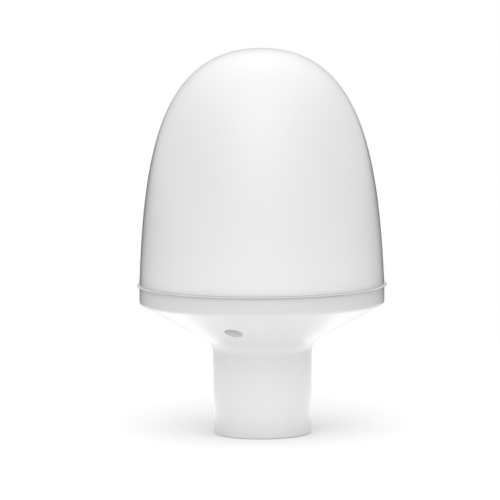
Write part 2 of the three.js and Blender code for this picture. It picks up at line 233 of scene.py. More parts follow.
def tube(name, inner, outer, low, high, edge=0.0, sides=SMALL):
    """A ring of rectangular section, with all four edges rounded by the same amount."""
    corners = [(inner, low), (outer, low), (outer, high), (inner, high)]
    if edge:
        corners = [(*corner, edge) for corner in corners]
    return lathe(name, rounded(corners, 4), sides)


def rod(name, radius, low, high, edge=0.0, sides=SMALL):
    """A cylinder, with the edges of its two ends rounded."""
    corners = [(0, low), (radius, low), (radius, high), (0, high)]
    if edge:
        corners[1:3] = [(*corner, edge) for corner in corners[1:3]]
    return lathe(name, rounded(corners, 4), sides)


def prism(name, outline, low, high):
    """A straight solid on an outline of (x, y) points that runs anticlockwise seen from above."""
    count = len(outline)
    verts = [(x, y, low) for x, y in outline] + [(x, y, high) for x, y in outline]
    faces = [tuple(reversed(range(count))), tuple(range(count, 2 * count))]
    faces += [(k, (k + 1) % count, count + (k + 1) % count, count + k) for k in range(count)]
    return make_object(name, verts, faces)


def circle(radius, sides, offset=0.0):
    """Points round a circle, turned by a share of one side."""
    turns = [2 * math.pi * (k + offset) / sides for k in range(sides)]
    return [(radius * math.cos(t), radius * math.sin(t)) for t in turns]


def hexagon(across_flats):
    return circle(across_flats / 2 / math.cos(math.pi / 6), 6, 0.5)


def block(name, x, y, low, high):
    """A box centred on the Z axis."""
    return prism(name, [(-x / 2, -y / 2), (x / 2, -y / 2), (x / 2, y / 2), (-x / 2, y / 2)], low, high)


def sweep(name, route, section):
    """A solid that carries a section of (across, up) points along a route."""
    verts, faces = [], []
    count = len(section)
    side = None
    for i, at in enumerate(route):
        along = (route[min(i + 1, len(route) - 1)] - route[max(i - 1, 0)]).normalized()
        side = (side - along * side.dot(along)).normalized() if side else along.orthogonal().normalized()
        up = along.cross(side)
        verts += [at + side * across + up * rise for across, rise in section]
        if i:
            base = (i - 1) * count
            faces += [(base + k, base + (k + 1) % count, base + count + (k + 1) % count, base + count + k)
                      for k in range(count)]
    faces += [tuple(reversed(range(count))), tuple(range(len(verts) - count, len(verts)))]
    return make_object(name, verts, faces)


def knurl(piece, radius, low, high, depth, sides):
    """Sinks every other column of points on a turned piece's outside, between two heights."""
    nearly = 0.02
    for vertex in piece.data.vertices:
        at = vertex.co / MM
        flat = Vector((at.x, at.y))
        if abs(flat.length - radius) < nearly and low < at.z < high:
            column = round(math.atan2(at.y, at.x) / (2 * math.pi) * sides)
            if column % 2:
                vertex.co.xy = flat * (1 - depth / radius) * MM
    return piece


def apply_modifiers(piece):
    """Swaps a piece's mesh for what its modifiers make of it."""
    graph = bpy.context.evaluated_depsgraph_get()
    mesh = bpy.data.meshes.new_from_object(piece.evaluated_get(graph))
    piece.modifiers.clear()
    old = piece.data
    piece.data = mesh
    mesh.name = piece.name
    bpy.data.meshes.remove(old)


def bevel(piece, width, segments=2):
    """Rounds every edge that turns by more than 40 degrees."""
    step = piece.modifiers.new("bevel", "BEVEL")
    step.width = width * MM
    step.segments = segments
    step.limit_method = "ANGLE"
    step.angle_limit = math.radians(40)
    apply_modifiers(piece)
    shade(piece)
    return piece


def combine(piece, others, operation):
    """A boolean of a piece with each of the others in turn, which are used up."""
    for other in others:
        step = piece.modifiers.new("combine", "BOOLEAN")
        step.object = other
        step.operation = operation
        step.solver = "EXACT"
    apply_modifiers(piece)
    for other in others:
        bpy.data.objects.remove(other)
    shade(piece)
    return piece


def cut(piece, *others):
    return combine(piece, others, "DIFFERENCE")


def join(piece, *others):
    return combine(piece, others, "UNION")


def gather(name, pieces):
    """Makes one object of many separate ones."""
    shape = bmesh.new()
    for piece in pieces:
        shape.from_mesh(piece.data)
        bpy.data.objects.remove(piece)
    mesh = bpy.data.meshes.new(name)
    shape.to_mesh(mesh)
    shape.free()
    whole = bpy.data.objects.new(name, mesh)
    bpy.context.scene.collection.objects.link(whole)
    shade(whole)
    return whole


def place(piece, radius, degrees=0):
    """Turns a piece about Z so that its +X points outwards at an angle, and moves it out to a radius."""
    turn = Matrix.Rotation(math.radians(degrees), 4, "Z")
    shift = Matrix.Translation(Vector((radius, 0, 0)) * MM)
    piece.data.transform(turn @ shift)
    return piece


def around(make, radius, angles):
    """One copy of what make(name) builds at each angle."""
    return [place(make(f"part_{k}"), radius, angle) for k, angle in enumerate(angles)]


def at_radome_screws(make):
    return around(make, RADOME_SCREW_R, RADOME_SCREW_ANGLES)


def at_board_screws(make):
    return around(make, BOARD_SCREW_R, BOARD_SCREW_ANGLES)


# ---- casing

def radome_curve(share):
    """Point and direction, as (radius, height), at a share of the radome's outside, a single cubic curve."""
    ends = [
        Vector((RIM_R, RADOME_FOOT_Z)),
        Vector((RIM_R - RADOME_RISE * math.tan(RADOME_DRAFT), RADOME_FOOT_Z + RADOME_RISE)),
        Vector((RADOME_CROWN, APEX_Z)),
        Vector((0, APEX_Z)),
    ]
    rest = 1 - share
    weights = (rest**3, 3 * rest**2 * share, 3 * rest * share**2, share**3)
    slopes = (-3 * rest**2, 3 * rest**2 - 6 * rest * share, 6 * rest * share - 3 * share**2, 3 * share**2)
    point = sum((p * w for p, w in zip(ends, weights)), Vector((0, 0)))
    along = sum((p * w for p, w in zip(ends, slopes)), Vector((0, 0)))
    return point, along.normalized()


def make_radome():
    """A moulded shell with three bosses inside, each on a web, for the screws that hold it."""
    rows = 72
    foot_edge = 0.1
    outside, inside = [], []
    for k in range(rows + 1):
        point, along = radome_curve(k / rows)
        outside.append(point)
        inside.append(point + Vector((-along.y, along.x)) * RADOME_WALL)
    outside[-1].x = inside[-1].x = 0
    foot = rounded([(RIM_R - RADOME_WALL, RADOME_FOOT_Z), (RIM_R, RADOME_FOOT_Z, foot_edge), outside[3]], 5)
    outside = foot[:-1] + outside[3:]
    shell = lathe("radome_shell", list(reversed(inside[1:])) + outside)
    join(shell, *at_radome_screws(radome_boss), *at_radome_screws(radome_web))
    return cut(shell, *at_radome_screws(radome_boss_hole))


def radome_boss(name):
    return rod(name, RADOME_BOSS_R, *RADOME_BOSS_Z, edge=0.4)


def radome_web(name):
    """A thin upright web that ties a boss to the wall, from just above the base's spigot."""
    thickness, foot, top = 2.4, 67.2, 92
    foot_length, top_length = 47 - RADOME_SCREW_R, 45.4 - RADOME_SCREW_R
    side = [(0, foot), (foot_length, foot), (top_length, top), (0, RADOME_BOSS_Z[1])]
    web = prism(name, side, -thickness / 2, thickness / 2)
    web.data.transform(Matrix.Rotation(math.pi / 2, 4, "X"))
    return web


def radome_boss_hole(name):
    """A hole for the brass insert, and above it a narrower one for the screw's tip."""
    insert_r, tip_r = 3, 2.3
    foot, shoulder, top = BASE_BOSS_TOP_Z, 66, 70
    return lathe(name, [
        (0, foot), (insert_r, foot), (insert_r, shoulder),
        (tip_r, shoulder + 0.5), (tip_r, top - 0.5), (0, top),
    ], SMALL)


def flare_z(radius):
    """Height of the flare's outside at a radius."""
    slope = (FLARE_TOP_Z - FLARE_FOOT_Z) / (RIM_R - COLLAR_TOP_R)
    return FLARE_FOOT_Z + (radius - COLLAR_TOP_R) * slope


def make_base_housing():
    """Collar, flare and rim in one moulding, with a grooved spigot that the radome fits over."""
    rim_edge = 0.35
    outside = [
        (0, 0),
        (COLLAR_FOOT_R, 0, FOOT_ROUNDING),
        (COLLAR_TOP_R, FLARE_FOOT_Z, FLARE_FILLET),
        (RIM_R, FLARE_TOP_Z, RIM_ROUNDING),
        (RIM_R, BASE_TOP_Z, rim_edge),
        (SPIGOT_R, BASE_TOP_Z),
        (SPIGOT_R, GROOVE_Z[0]),
        (GROOVE_R, GROOVE_Z[0]),
        (GROOVE_R, GROOVE_Z[1]),
        (SPIGOT_R, GROOVE_Z[1]),
        (SPIGOT_R, SPIGOT_TOP_Z, rim_edge),
        (0, SPIGOT_TOP_Z),
    ]
    housing = lathe("base_housing_shell", rounded(outside, 12))
    return cut(housing, base_pan(), base_socket(), jack_hole(), *screw_ways(), *pillar_holes())


def base_pan():
    """The hollow over the floor, with the screw bosses and board pillars left standing in it."""
    floor_r = COLLAR_TOP_R + (FLOOR_Z[1] - SKIN - FLARE_FOOT_Z) / (flare_z(1) - flare_z(0))
    pan = lathe("pan", rounded([
        (0, FLOOR_Z[1]),
        (floor_r, FLOOR_Z[1], 1.5),
        (SPIGOT_BORE_R, flare_z(SPIGOT_BORE_R) + SKIN, 2.5),
        (SPIGOT_BORE_R, SPIGOT_TOP_Z + 1),
        (0, SPIGOT_TOP_Z + 1),
    ]))
    pillar_z = (BELOW_FLOOR_Z, PLATE_Z[0] - CLEARANCE)
    bosses = at_radome_screws(lambda name: rod(name, BASE_BOSS_R, BELOW_FLOOR_Z, BASE_BOSS_TOP_Z, edge=0.4))
    pillars = at_board_screws(lambda name: rod(name, PILLAR_R, *pillar_z, edge=0.3))
    return cut(pan, *bosses, *pillars)


def base_socket():
    """The collar's bore, wider where the thread insert is moulded in."""
    foot, top, roof = -1, INSERT_Z[1] + CLEARANCE, FLOOR_Z[0]
    return lathe("socket", rounded([
        (0, foot), (INSERT_R, foot), (INSERT_R, top), (SOCKET_R, top), (SOCKET_R, roof, 0.8), (0, roof),
    ]), 128)


def jack_hole():
    return rod("jack_hole", JACK_HOLE_R, BELOW_FLOOR_Z, FLOOR_Z[1] + 3)


def screw_ways():
    """For each radome screw, a counterbore up into the flare and a clearance hole on through its boss."""
    counterbores = at_radome_screws(lambda name: rod(name, COUNTERBORE_R, BELOW_FLOOR_Z, COUNTERBORE_TOP_Z))
    holes = at_radome_screws(lambda name: rod(name, M4_CLEARANCE_R, *SCREW_HOLE_Z))
    return counterbores + holes


def pillar_holes():
    return at_board_screws(lambda name: rod(name, M3_CLEARANCE_R, *SCREW_HOLE_Z))


def make_seam_gasket():
    """A flat ring whose edge thins towards its tip and stands out as a drip lip."""
    low, high = reach("seam_gasket")
    inner = SPIGOT_R + 0.3
    tip = 0.1
    return lathe("seam_gasket_ring", rounded([
        (inner, low.z),
        (LIP_R, low.z, tip),
        (LIP_R, low.z + 0.3, tip),
        (RIM_R + 0.15, high.z, tip),
        (inner, high.z),
    ], 5))


def make_o_ring():
    """A ring of round section, in the spigot's groove."""
    low, high = reach("radome_o_ring")
    section = (high.z - low.z) / 2
    middle_r, middle_z = high.x - section, (low.z + high.z) / 2
    return lathe("o_ring", [(middle_r + x, middle_z + y) for x, y in circle(section, 24)])


# ---- fasteners

def make_radome_screw(index):
    """An M4 cap screw that points up, with a knurled head and a hexagon socket."""
    low, high = reach(f"radome_screw_{index}")
    head_r, head_top, shank_r, sides = 3.5, low.z + 4, 2.0, 96
    outline = rounded([(0, low.z), (head_r, low.z, 0.35), (head_r, low.z + 0.45)], 4) + [
        (head_r, low.z + 0.55), (head_r, head_top - 0.45), (head_r, head_top - 0.35),
        (head_r - 0.2, head_top), (shank_r + 0.2, head_top), (shank_r, head_top + 0.2),
        (shank_r, head_top + 0.8), (shank_r, high.z - 0.6), (shank_r - 0.6, high.z), (0, high.z),
    ]
    shank_edge = len(outline) - 4
    screw = lathe(f"cap_screw_{index}", outline, sides, threads={shank_edge: (M4_PITCH, 0.4)})
    knurl(screw, head_r, low.z + 0.5, head_top - 0.4, 0.14, sides)
    key_size, socket_depth = 3.0, 2.2
    socket = prism("socket", hexagon(key_size), low.z - 1, low.z + socket_depth)
    return place(cut(screw, socket), RADOME_SCREW_R, RADOME_SCREW_ANGLES[index - 1])


def make_screw_seal(index):
    low, high = reach(f"radome_screw_seal_{index}")
    inner_r, outer_r = 2.2, 3.45
    seal = tube(f"screw_seal_{index}", inner_r, outer_r, low.z, high.z, edge=0.25)
    return place(seal, RADOME_SCREW_R, RADOME_SCREW_ANGLES[index - 1])


def make_radome_insert(index):
    """A brass insert: two knurled bands with a groove between them, and an M4 thread inside."""
    low, high = reach(f"radome_insert_{index}")
    bore_r, outer_r, waist_r = 2.1, 2.9, 2.55
    waist = ((low.z + high.z) / 2 - 0.5, (low.z + high.z) / 2 + 0.5)
    outline = [
        (bore_r + 0.25, low.z), (waist_r, low.z), (outer_r, low.z + 0.35), (outer_r, low.z + 0.4),
        (outer_r, waist[0] - 0.05), (outer_r, waist[0]), (waist_r, waist[0] + 0.2), (waist_r, waist[1] - 0.2),
        (outer_r, waist[1]), (outer_r, waist[1] + 0.05), (outer_r, high.z - 0.4), (outer_r, high.z - 0.35),
        (waist_r, high.z), (bore_r + 0.25, high.z), (bore_r, high.z - 0.25), (bore_r, low.z + 0.25),
    ]
    insert = lathe(f"threaded_insert_{index}", outline, threads={len(outline) - 2: (M4_PITCH, 0.3)})
    knurl(insert, outer_r, low.z + 0.38, waist[0] - 0.02, 0.16, ROUND)
    knurl(insert, outer_r, waist[1] + 0.02, high.z - 0.38, 0.16, ROUND)
    return place(insert, RADOME_SCREW_R, RADOME_SCREW_ANGLES[index - 1])


def make_board_screw(index):
    """An M3 screw with a domed head and a hexagon socket."""
    low, high = reach(f"board_screw_{index}")
    seat, shank_r, head_r, crown_r, plain_length = high.z - 1.9, 1.5, 2.8, 1.9, 4
    foot = [(0, low.z), (shank_r - 0.4, low.z), (shank_r, low.z + 0.4)]
    shank_edge = len(foot) - 1
    head = rounded([
        (shank_r, seat), (head_r, seat, 0.15), (head_r, seat + 0.9, 0.3), (crown_r, high.z, 0.5), (0, high.z),
    ], 4)
    outline = foot + [(shank_r, seat - plain_length)] + head
    screw = lathe(f"domed_screw_{index}", outline, SMALL, threads={shank_edge: (M3_PITCH, 0.3)})
    key_size, socket_foot = 2.0, seat + 0.8
    socket = prism("socket", hexagon(key_size), socket_foot, high.z + 1.1)
    return place(cut(screw, socket), BOARD_SCREW_R, BOARD_SCREW_ANGLES[index - 1])


def make_board_spacer(index):
    """A hexagonal spacer with turned ends."""
    low, high = reach(f"board_spacer_{index}")
    corner_r, chamfer, bore_r, lead = 3.1, 0.3, 1.65, 0.2
    turned = lathe("turned", [
        (bore_r, low.z + lead), (bore_r + lead, low.z), (corner_r - chamfer, low.z),
        (corner_r + 0.1, low.z + chamfer), (corner_r + 0.1, high.z - chamfer),
        (corner_r - chamfer, high.z), (bore_r + lead, high.z), (bore_r, high.z - lead),
    ], SMALL)
    spacer = prism(f"hex_spacer_{index}", hexagon(corner_r * math.sqrt(3)), low.z - 1, high.z + 1)
    combine(spacer, [turned], "INTERSECT")
    return place(spacer, BOARD_SCREW_R, BOARD_SCREW_ANGLES[index - 1])


# ---- mast socket and jack

def make_mast_insert():
    """The collar's one-inch, 14 threads to the inch, metal thread."""
    low, high = INSERT_Z
    crest_r, depth, lead = 11.7, 1.0, 1.2
    outer_r = INSERT_R - CLEARANCE
    outline = [
        (crest_r + lead, low), (outer_r - 0.4, low), (outer_r, low + 0.4), (outer_r, high - 0.4),
        (outer_r - 0.4, high), (crest_r + 0.4, high), (crest_r, high - 0.4), (crest_r, low + lead),
    ]
    bore_edge = 6
    return lathe("mast_thread", outline, 144, threads={bore_edge: (INCH / 14, depth)})


def make_jack():
    """The jack's turned body: a threaded nose below, a flange, and a threaded tail above."""
    low, high = reach("connector_jack")
    bore_r, mouth_r, nose_r, flange_r, tail_r = 2.5, 4.05, 5.55, 8.6, 5.9
    mouth_depth, edge = 6, 0.3
    flange = (low.z + 10, low.z + 13.2)
    outline = [
        (bore_r, low.z + mouth_depth), (mouth_r, low.z + mouth_depth), (mouth_r, low.z + edge),
        (mouth_r + edge, low.z), (nose_r - 0.5, low.z), (nose_r, low.z + 0.5), (nose_r, flange[0] - 0.6),
        (nose_r - 0.4, flange[0] - 0.5), (nose_r - 0.4, flange[0]), (flange_r - edge, flange[0]),
        (flange_r, flange[0] + edge), (flange_r, flange[1] - edge), (flange_r - edge, flange[1]),
        (tail_r, flange[1]), (tail_r, high.z - 0.5), (tail_r - 0.5, high.z), (bore_r, high.z),
    ]
    nose_edge, tail_edge = 5, 13
    threads = {nose_edge: (INCH / 28, 0.5), tail_edge: (TAIL_PITCH, 0.45)}
    return lathe("jack_body", outline, 96, threads=threads)


def make_dielectric():
    low, high = reach("connector_dielectric")
    bore_r = 1.15
    return tube("jack_dielectric", bore_r, high.x, low.z, high.z, edge=0.2)


def make_contact():
    """The jack's centre contact, bored and slotted into four springy fingers."""
    low, high = reach("connector_contact")
    pin_r, bore_r, bore_depth, slot_width, slot_depth = 1.05, 0.5, 3.6, 0.25, 3
    pin = rod("jack_contact", pin_r, low.z, high.z, edge=0.2)
    bore = rod("bore", bore_r, low.z - 1, low.z + bore_depth)
    slots = around(lambda name: block(name, 3, slot_width, low.z - 1, low.z + slot_depth), 0, (0, 90))
    return cut(pin, bore, *slots)


def make_connector_seal():
    low, high = reach("connector_seal")
    inner_r, outer_r = 6.1, 8.3
    return tube("jack_seal", inner_r, outer_r, low.z, high.z, edge=0.3)


def make_lock_washer():
    """A springy washer, split on one side."""
    low, high = reach("connector_lock_washer")
    inner_r, outer_r, split_width = 6.1, 8.6, 1.2
    washer = tube("jack_lock_washer", inner_r, outer_r, low.z, high.z, edge=0.12)
    split = place(block("split", 6, split_width, low.z - 1, high.z + 1), 8)
    return cut(washer, split)


def make_nut():
    """A chamfered hexagon nut, threaded inside."""
    low, high = reach("connector_nut")
    corner_r, bore_r, chamfer, bore_edge = 9.1, 6.0, 0.6, 6
    flat_r = corner_r * math.cos(math.pi / 6)
    turned = lathe("turned", [
        (bore_r + 0.4, low.z), (flat_r, low.z), (corner_r + 0.3, low.z + chamfer),
        (corner_r + 0.3, high.z - chamfer), (flat_r, high.z), (bore_r + 0.4, high.z),
        (bore_r, high.z - 0.4), (bore_r, low.z + 0.4),
    ], 96, threads={bore_edge: (TAIL_PITCH, 0.4)})
    nut = prism("jack_nut", hexagon(2 * flat_r), low.z - 1, high.z + 1)
    return combine(nut, [turned], "INTERSECT")


def make_ferrule():
    """A crimped sleeve, pressed in along its middle."""
    low, high = reach("coax_ferrule")
    bore_r, outer_r, pressed_r = 1.4, 2.35, 2.1
    return lathe("coax_crimp", rounded([
        (bore_r, low.z), (outer_r, low.z, 0.15), (outer_r, low.z + 0.9, 0.1),
        (pressed_r, low.z + 1.2, 0.1), (pressed_r, high.z - 1.0, 0.1),
        (outer_r, high.z - 0.7, 0.1), (outer_r, high.z, 0.15), (bore_r, high.z),
    ], 4), SMALL)


def make_coax():
    """Up out of the ferrule, out under the plate, up through plate and board, and back in to the plug."""
    low, high = reach("coax_jumper")
    radius, bend, angle, sides = 1.25, 4.5, math.radians(COAX_ANGLE), 32
    run_z, rise_r, end_r = 55.8, 34.0, 27.9
    top_z = high.z - radius
    corners = [(0, low.z), (0, run_z, bend), (rise_r, run_z, bend), (rise_r, top_z, bend), (end_r, top_z)]
    route = [Vector((p[0] * math.cos(angle), p[0] * math.sin(angle), p[1])) for p in rounded(corners, 14)]
    return sweep("coax_lead", route, circle(radius, sides))


# ---- decks

def deck_cuts(foot, top):
    """What both decks are cut by: an opening round each radome boss, and a hole for each board screw."""
    openings = at_radome_screws(lambda name: rod(name, BOSS_OPENING_R, foot, top))
    holes = at_board_screws(lambda name: rod(name, M3_CLEARANCE_R, foot, top))
    return openings + holes


def make_ground_plane():
    low, high = reach("ground_plane")
    bore_r, slot_length, slot_width, slot_r = 9.0, 5.4, 5, 33.4
    foot, top = 50, 70
    plate = tube("ground_plate", bore_r, high.x, low.z, high.z, edge=0.25, sides=ROUND)
    slot = place(block("slot", slot_length, slot_width, foot, top), slot_r, COAX_ANGLE)
    return cut(plate, *deck_cuts(foot, top), slot)


def make_circuit_board():
    slot_length, slot_width, slot_r = 7, 4.4, 32.6
    foot, top = 60, 70
    board = rod("amplifier_board", BOARD_R, *BOARD_Z, edge=0.1, sides=ROUND)
    slot = place(block("slot", slot_length, slot_width, foot, top), slot_r, COAX_ANGLE)
    return cut(board, *deck_cuts(foot, top), slot)


def make_board_pads():
    """Gold-plated copper on the board: a ring round each screw hole, and a fence of small vias by the rim."""
    low, high = BOARD_Z[1] - 0.02, BOARD_Z[1] + 0.04
    ring_r, via_r, via_inset, via_angles = (1.7, 3.3), (0.2, 0.42), 1.1, range(0, 360, 6)
    rings = at_board_screws(lambda name: tube(name, *ring_r, low, high))
    vias = around(lambda name: tube(name, *via_r, low, high, sides=12), BOARD_R - via_inset, via_angles)
    return gather("board_pads", rings + vias)


def make_chips():
    """The small parts soldered to the board outside its two cans, in three groups between the screws.

    Each group has a square package in the middle, and smaller parts with a tinned cap on each end beside it.
    """
    packages = ((40, 3.2, 0.9), (160, 5.0, 0.85), (340, 4.0, 1.1))  # angle, side, height
    parts = ((-7.5, 2.0, 1.2), (-5.2, 1.0, 0.5), (5.2, 1.0, 0.5), (7.5, 1.6, 0.8))  # sideways, length, width
    package_r, part_rows = 29.5, (27.5, 31.5)
    foot = BOARD_Z[1] + 0.03
    bodies, ends = [], []
    for angle, side, height in packages:
        package = bevel(block("package", side, side, foot, foot + height), 0.08)
        bodies.append(place(package, package_r, angle))
        for (sideways, length, width), radius in product(parts, part_rows):
            at = angle + math.degrees(sideways / radius)
            body = bevel(block("body", width, length * 0.6, foot, foot + width * 0.55), 0.04)
            bodies.append(place(body, radius, at))
            for end in (-1, 1):
                cap = bevel(block("cap", width * 1.04, length * 0.22, foot, foot + width * 0.58), 0.04)
                cap.data.transform(Matrix.Translation((0, end * length * 0.4 * MM, 0)))
                ends.append(place(cap, radius, at))
    return gather("board_chips", bodies), gather("board_chip_ends", ends)


def make_can(name, across, along, height, angle):
    """A pressed cover over part of the circuit, open below, with a grid of vent holes in its top."""
    sheet, vent_r, pitch, can_r = 0.4, 0.5, 2.6, 30
    foot = BOARD_Z[1] + CLEARANCE
    can = bevel(block(name, across, along, foot, foot + height), 0.5, 4)
    hollow = block("hollow", across - 2 * sheet, along - 2 * sheet, foot - 1, foot + height - sheet)
    rows, columns = int(across / pitch) - 1, int(along / pitch) - 1
    vents = []
    for row, column in product(range(rows), range(columns)):
        vent = rod("vent", vent_r, foot + 1, foot + height + 1, sides=20)
        at = ((row - (rows - 1) / 2) * pitch * MM, (column - (columns - 1) / 2) * pitch * MM, 0)
        vent.data.transform(Matrix.Translation(at))
        vents.append(vent)
    return place(cut(can, hollow, gather("vents", vents)), can_r, angle)


def make_board_jack():
    """A short barrel on a square foot."""
    low, high = reach("board_jack")
    side, foot_height, bore_r, barrel_r = 4, 0.5, 1.0, 1.4
    foot = bevel(block("board_socket", side, side, low.z, low.z + foot_height), 0.12)
    barrel = tube("barrel", bore_r, barrel_r, low.z + 0.1, high.z, edge=0.08)
    return place(join(foot, barrel), BOARD_PLUG_R, COAX_ANGLE)


def make_board_plug():
    """A right-angle plug: a round cap with a crimp sleeve out of its side."""
    low, high = reach("board_plug")
    cap_r, sleeve_z, sleeve_r, sleeve_length = 1.9, 68.4, 1.35, 2.6
    cap = rod("lead_plug", cap_r, low.z, high.z, edge=0.25)
    sleeve = rod("sleeve", sleeve_r, 0, sleeve_length, edge=0.15)
    turn = Matrix.Rotation(math.pi / 2, 4, "Y")
    sleeve.data.transform(Matrix.Translation((0, 0, sleeve_z * MM)) @ turn)
    return place(join(cap, sleeve), BOARD_PLUG_R, COAX_ANGLE)


# ---- helix

def make_helix_base():
    """A ring that the former stands in, sloping down to a thin edge."""
    low, high = reach("helix_base")
    bore_r, outer_r, slope, edge_height = FORMER_R + 0.15, high.x, 3, 1.45
    return lathe("helix_foot", rounded([
        (bore_r, low.z), (outer_r, low.z, 0.2), (outer_r, low.z + edge_height, 0.5),
        (outer_r - slope, high.z, 0.6), (bore_r, high.z, 0.15),
    ], 5))


def make_former():
    low, high = reach("helix_former")
    wall = 1.4
    return tube("helix_tube", FORMER_R - wall, FORMER_R, low.z, high.z, edge=0.12, sides=ROUND)


def make_helix_arm(index):
    """A copper strip that climbs half a turn round the former, just clear of it."""
    low, high = reach(f"helix_arm_{index}")
    width, thickness, radius = 4.2, 0.3, FORMER_R + 0.4
    steps, columns = 120, 8
    phase = 2 * math.pi * (index - 1) / ARM_COUNT
    inner = [(width * (k / columns - 0.5), -thickness / 2) for k in range(columns + 1)]
    outer = [(width * (0.5 - k / columns), thickness / 2) for k in range(columns + 1)]
    section = inner + outer
    count = len(section)
    verts, faces = [], []
    for step in range(steps + 1):
        share = step / steps
        height = low.z + (high.z - low.z) * share
        for across, out in section:
            angle = phase + math.pi * share - across / radius
            verts.append(((radius + out) * math.cos(angle), (radius + out) * math.sin(angle), height))
        if step:
            base = (step - 1) * count
            faces += [(base + k, base + count + k, base + count + (k + 1) % count, base + (k + 1) % count)
                      for k in range(count)]
    faces += [tuple(range(count)), tuple(reversed(range(len(verts) - count, len(verts))))]
    return make_object(f"helix_strip_{index}", verts, faces)


def make_helix_cap():
    """A small board that plugs into the former's top."""
    low, high = reach("helix_cap")
    plug_r, rim_r, seat = FORMER_R - 1.6, high.x, high.z - 1.55
    return lathe("helix_lid", rounded([
        (0, low.z), (plug_r, low.z, 0.3), (plug_r, seat), (rim_r, seat, 0.1), (rim_r, high.z, 0.15),
        (0, high.z),
    ], 4))


def make_cap_cross():
    """Crossed copper tracks on the cap that join each pair of opposite arms, with solder at each end."""
    top = reach("helix_cap")[1].z
    length, width, joint_r = 2 * FORMER_R - 1, 3.0, FORMER_R - 1.6
    tracks = [place(block("cap_tracks", length, width, top - 0.02, top + 0.05), 0, turn) for turn in (0, 90)]
    joints = around(lambda name: lathe(name, [
        (0, top), (1.7, top), (1.5, top + 0.12), (1.0, top + 0.22), (0, top + 0.26),
    ], 32, 60), joint_r, (0, 90, 180, 270))
    return join(*tracks), gather("cap_solder", joints)


# ---- materials

class Nodes:
    """Makes and joins up the nodes of one node tree."""

    def __init__(self, tree):
        self.tree = tree

    def node(self, kind, **inputs):
        """A node of a kind, with each named input fed from another node or set to a value."""
        made = self.tree.nodes.new(kind)
        for name, value in inputs.items():
            self.feed(made.inputs[name.replace("_", " ")], value)
        return made

    def feed(self, socket, value):
        if isinstance(value, bpy.types.NodeSocket):
            self.tree.links.new(value, socket)
        else:
            socket.default_value = value

    def math(self, operation, *values):
        made = self.node("ShaderNodeMath")
        made.operation = operation
        for socket, value in zip(made.inputs, values):
            self.feed(socket, value)
        return made.outputs["Value"]

    def dot(self, first, second):
        made = self.node("ShaderNodeVectorMath")
        made.operation = "DOT_PRODUCT"
        self.feed(made.inputs[0], first)
        self.feed(made.inputs[1], second)
        return made.outputs["Value"]

    def span(self, value, low, high, from_low=0.3, from_high=0.7, smooth=False):
        """Maps a value onto the range from low to high."""
        limits = {"From_Min": from_low, "From_Max": from_high, "To_Min": low, "To_Max": high}
        made = self.node("ShaderNodeMapRange", Value=value, **limits)
        if smooth:
            made.interpolation_type = "SMOOTHSTEP"
        return made.outputs["Result"]

    def blend(self, share, first, second):
        """A mix of two colours."""
        made = self.node("ShaderNodeMix")
        made.data_type = "RGBA"
        self.feed(made.inputs["Factor"], share)
        self.feed(made.inputs["A"], (*first, 1) if isinstance(first, tuple) else first)
        self.feed(made.inputs["B"], (*second, 1) if isinstance(second, tuple) else second)
        return made.outputs["Result"]

    def either(self, share, first, second):
        """A mix of two shaders."""
        made = self.node("ShaderNodeMixShader", Fac=share)
        self.feed(made.inputs[1], first)
        self.feed(made.inputs[2], second)
        return made.outputs["Shader"]


class Surface(Nodes):
    """A material in the making: its shader, and the nodes that vary it over the surface."""

    def __init__(self, name, color, roughness, metallic=0.0):
        self.material = bpy.data.materials.new(name)
        self.material.use_nodes = True
        super().__init__(self.material.node_tree)
        self.inputs = self.tree.nodes["Principled BSDF"].inputs
        self.set("Base Color", (*color, 1))
        self.set("Roughness", roughness)
        self.set("Metallic", metallic)
        self.color = color
        self.place = self.node("ShaderNodeTexCoord").outputs["Object"]

    def set(self, socket, value):
        """Sets one of the shader's inputs, or feeds it from another node."""
        self.feed(self.inputs[socket], value)

    def noise(self, size_mm, detail=2.0, stretch=(1, 1, 1)):
        """Soft random patches of about a size, from 0 to 1."""
        where = self.node("ShaderNodeMapping", Vector=self.place, Scale=stretch).outputs["Vector"]
        made = self.node("ShaderNodeTexNoise", Vector=where, Scale=1 / (size_mm * MM), Detail=detail)
        return made.outputs["Fac"]

    def mottle(self, size_mm, amount):
        """Lightens and darkens the colour in soft patches."""
        dark = tuple(c * (1 - amount) for c in self.color)
        light = tuple(min(1.0, c * (1 + amount)) for c in self.color)
        self.set("Base Color", self.blend(self.span(self.noise(size_mm), 0, 1), dark, light))

    def vary_roughness(self, size_mm, low, high, stretch=(1, 1, 1)):
        self.set("Roughness", self.span(self.noise(size_mm, 4, stretch), low, high))

    def bump(self, height, depth_mm):
        """Adds relief on top of any that is there."""
        made = self.node("ShaderNodeBump", Height=height, Strength=1.0, Distance=depth_mm * MM)
        earlier = self.inputs["Normal"].links
        if earlier:
            self.feed(made.inputs["Normal"], earlier[0].from_socket)
        self.set("Normal", made.outputs["Normal"])

    def edge_wear(self, color, reach_mm, amount):
        """Shows another colour along the edges, in broken patches."""
        edge = self.node("ShaderNodeBevel", Radius=reach_mm * MM)
        edge.samples = 4
        flatness = self.dot(edge.outputs["Normal"], self.node("ShaderNodeNewGeometry").outputs["Normal"])
        worn = self.span(flatness, amount, 0, 0.8, 0.99)
        share = self.math("MULTIPLY", worn, self.span(self.noise(0.7, 4), 0.2, 1))
        earlier = self.inputs["Base Color"].links
        base = earlier[0].from_socket if earlier else self.color
        self.set("Base Color", self.blend(share, base, color))


